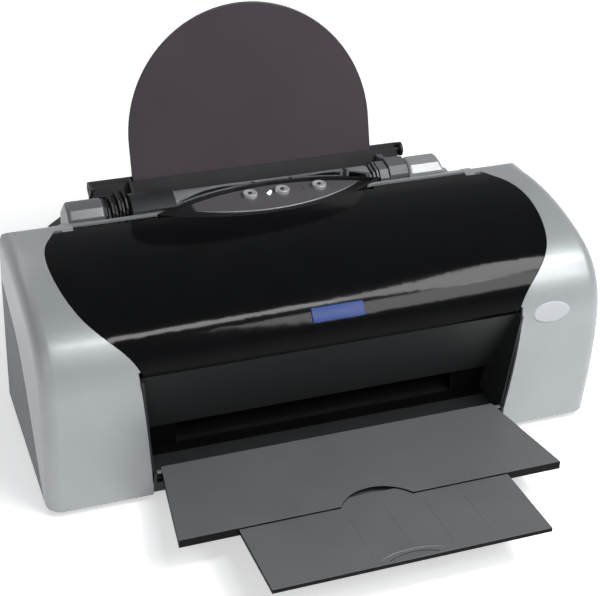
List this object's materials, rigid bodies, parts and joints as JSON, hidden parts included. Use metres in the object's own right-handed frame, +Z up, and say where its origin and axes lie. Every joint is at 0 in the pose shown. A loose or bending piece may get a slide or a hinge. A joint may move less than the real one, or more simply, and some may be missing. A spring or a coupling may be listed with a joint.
{
  "type": "inkjet printer",
  "caption": "Desktop inkjet sheet printer with silver wings, a hinged gloss black cover, a lift-off arched paper support and a folding front tray with a pull-out extension.",
  "frame": {"origin": "on the floor, under the middle of the printer with its tray and extension pulled out", "axes": "+X to the right seen from the front, +Y to the back, +Z up"},
  "size_m": [0.4574, 0.4095, 0.291],
  "materials": {
    "silver_casing": "satin silver",
    "side_grey": "fine matt",
    "gloss_black": "gloss",
    "dark_grey": "fine matt",
    "tray_grey": "fine matt",
    "base_black": "matt",
    "smoked": "smoked translucent",
    "button_silver": "satin",
    "lens_clear": "clear",
    "blue_plate": "gloss",
    "foot_rubber": "matt",
    "roller_rubber": "matt",
    "screw_steel": "plated",
    "frame_steel": "plated",
    "white_nylon": "moulded",
    "inner_black": "matt",
    "ink_cyan": "satin",
    "ink_magenta": "satin",
    "ink_yellow": "satin",
    "cork": "cork",
    "felt": "felt",
    "board_green": "solder mask",
    "strip_clear": "clear"
  },
  "bodies": {
    "housing": {"button_board": "board_green", "capping_station": "inner_black", "carriage_belt": "inner_black", "carriage_motor": "frame_steel", "control_panel": "gloss_black", "encoder_strip": "strip_clear", "feed_motor": "frame_steel", "feeder_frame": "dark_grey", "feeder_left_cover": "silver_casing", "feeder_lip": "silver_casing", "feeder_right_cover": "silver_casing", "fixed_edge_guide": "dark_grey", "front_panel": "dark_grey", "guide_shaft": "frame_steel", "hopper_springs": "frame_steel", "indicator_lenses": "lens_clear", "left_side_panel": "side_grey", "lower_case": "base_black", "main_board": "board_green", "main_frame": "frame_steel", "pinch_holder": "inner_black", "platen": "inner_black", "power_inlet": "base_black", "power_supply": "frame_steel", "rear_cover": "base_black", "rear_screws": "screw_steel", "right_side_panel": "side_grey", "rubber_feet": "foot_rubber", "separation_pad": "cork", "star_holder": "inner_black", "upper_case": "silver_casing", "usb_socket": "frame_steel", "waste_ink_pad": "felt"},
    "cover": {"printer_cover": "gloss_black", "name_badge": "blue_plate"},
    "tray": {"output_tray": "tray_grey"},
    "extension": {"tray_extension": "tray_grey"},
    "support": {"paper_support": "smoked"},
    "guide": {"edge_guide": "dark_grey"},
    "power_key": {"power_button": "button_silver"},
    "paper_key": {"paper_button": "button_silver"},
    "ink_key": {"ink_button": "button_silver"},
    "carriage_unit": {"carriage": "inner_black", "print_head": "inner_black", "cartridge_black": "inner_black", "cartridge_cyan": "ink_cyan", "cartridge_magenta": "ink_magenta", "cartridge_yellow": "ink_yellow", "cartridge_clamp": "inner_black"},
    "pulley_left": {"motor_pulley": "white_nylon"},
    "pulley_right": {"idler_pulley": "white_nylon"},
    "drive": {"drive_roller": "frame_steel"},
    "pinch": {"pinch_rollers": "roller_rubber"},
    "exit": {"exit_roller": "frame_steel"},
    "stars": {"star_wheels": "frame_steel"},
    "idler": {"idler_gear": "white_nylon"},
    "pinion": {"motor_pinion": "white_nylon"},
    "feed": {"feed_shaft": "frame_steel", "feed_tyres": "roller_rubber"},
    "hopper": {"hopper_plate": "dark_grey"}
  },
  "joints": [
    {"name": "cover_hinge", "type": "hinge", "parent": "housing", "child": "cover", "pos_m": [0, 0.10082, 0.15735], "axis": [-1, 0, 0], "range_deg": [0, 62]},
    {"name": "tray_hinge", "type": "hinge", "parent": "housing", "child": "tray", "pos_m": [0, -0.04718, 0.024], "axis": [-1, 0, 0], "range_deg": [0, 86]},
    {"name": "extension_slide", "type": "slide", "parent": "tray", "child": "extension", "axis": [0, -0.9976, 0.0698], "range_m": [-0.07, 0]},
    {"name": "support_lift", "type": "slide", "parent": "housing", "child": "support", "axis": [0, 0.3239, 0.9461], "range_m": [0, 0.07]},
    {"name": "edge_guide_slide", "type": "slide", "parent": "housing", "child": "guide", "axis": [1, 0, 0], "range_m": [0, 0.115]},
    {"name": "power_press", "type": "slide", "parent": "housing", "child": "power_key", "axis": [0, 0, -1], "range_m": [0, 0.001], "stiffness_N_per_m": 300, "springref_m": -0.001},
    {"name": "paper_press", "type": "slide", "parent": "housing", "child": "paper_key", "axis": [0, 0, -1], "range_m": [0, 0.001], "stiffness_N_per_m": 300, "springref_m": -0.001},
    {"name": "ink_press", "type": "slide", "parent": "housing", "child": "ink_key", "axis": [0, 0, -1], "range_m": [0, 0.001], "stiffness_N_per_m": 300, "springref_m": -0.001},
    {"name": "carriage_slide", "type": "slide", "parent": "housing", "child": "carriage_unit", "axis": [-1, 0, 0], "range_m": [0, 0.325]},
    {"name": "motor_pulley_turn", "type": "hinge", "parent": "housing", "child": "pulley_left", "pos_m": [-0.202, 0.07792, 0.106], "axis": [0, 1, 0], "continuous": true},
    {"name": "idler_pulley_turn", "type": "hinge", "parent": "housing", "child": "pulley_right", "pos_m": [0.202, 0.07792, 0.106], "axis": [0, 1, 0], "continuous": true},
    {"name": "drive_turn", "type": "hinge", "parent": "housing", "child": "drive", "pos_m": [0, 0.07332, 0.052], "axis": [1, 0, 0], "continuous": true},
    {"name": "pinch_turn", "type": "hinge", "parent": "housing", "child": "pinch", "pos_m": [0, 0.07482, 0.0623], "axis": [1, 0, 0], "continuous": true},
    {"name": "exit_turn", "type": "hinge", "parent": "housing", "child": "exit", "pos_m": [0, 0.02532, 0.044], "axis": [1, 0, 0], "continuous": true},
    {"name": "star_turn", "type": "hinge", "parent": "housing", "child": "stars", "pos_m": [0, 0.02532, 0.0543], "axis": [1, 0, 0], "continuous": true},
    {"name": "idler_turn", "type": "hinge", "parent": "housing", "child": "idler", "pos_m": [0, 0.04977, 0.03026], "axis": [1, 0, 0], "continuous": true},
    {"name": "pinion_turn", "type": "hinge", "parent": "housing", "child": "pinion", "pos_m": [0, 0.08006, 0.02684], "axis": [1, 0, 0], "continuous": true},
    {"name": "feed_turn", "type": "hinge", "parent": "housing", "child": "feed", "pos_m": [0, 0.0964, 0.07838], "axis": [1, 0, 0], "continuous": true},
    {"name": "hopper_hinge", "type": "hinge", "parent": "housing", "child": "hopper", "pos_m": [0, 0.1559, 0.1614], "axis": [-1, 0, 0], "range_deg": [0, 6.5]}
  ],
  "couplings": [
    {"joint": "motor_pulley_turn", "follows": "carriage_slide", "rad_per_m": -144.93},
    {"joint": "idler_pulley_turn", "follows": "carriage_slide", "rad_per_m": -144.93},
    {"joint": "pinch_turn", "follows": "drive_turn", "ratio": -1.5},
    {"joint": "exit_turn", "follows": "drive_turn", "ratio": 1.25},
    {"joint": "star_turn", "follows": "drive_turn", "ratio": -1.25},
    {"joint": "idler_turn", "follows": "drive_turn", "ratio": -1.6667},
    {"joint": "pinion_turn", "follows": "drive_turn", "ratio": -3.3333},
    {"joint": "feed_turn", "follows": "drive_turn", "ratio": -1.3333}
  ]
}
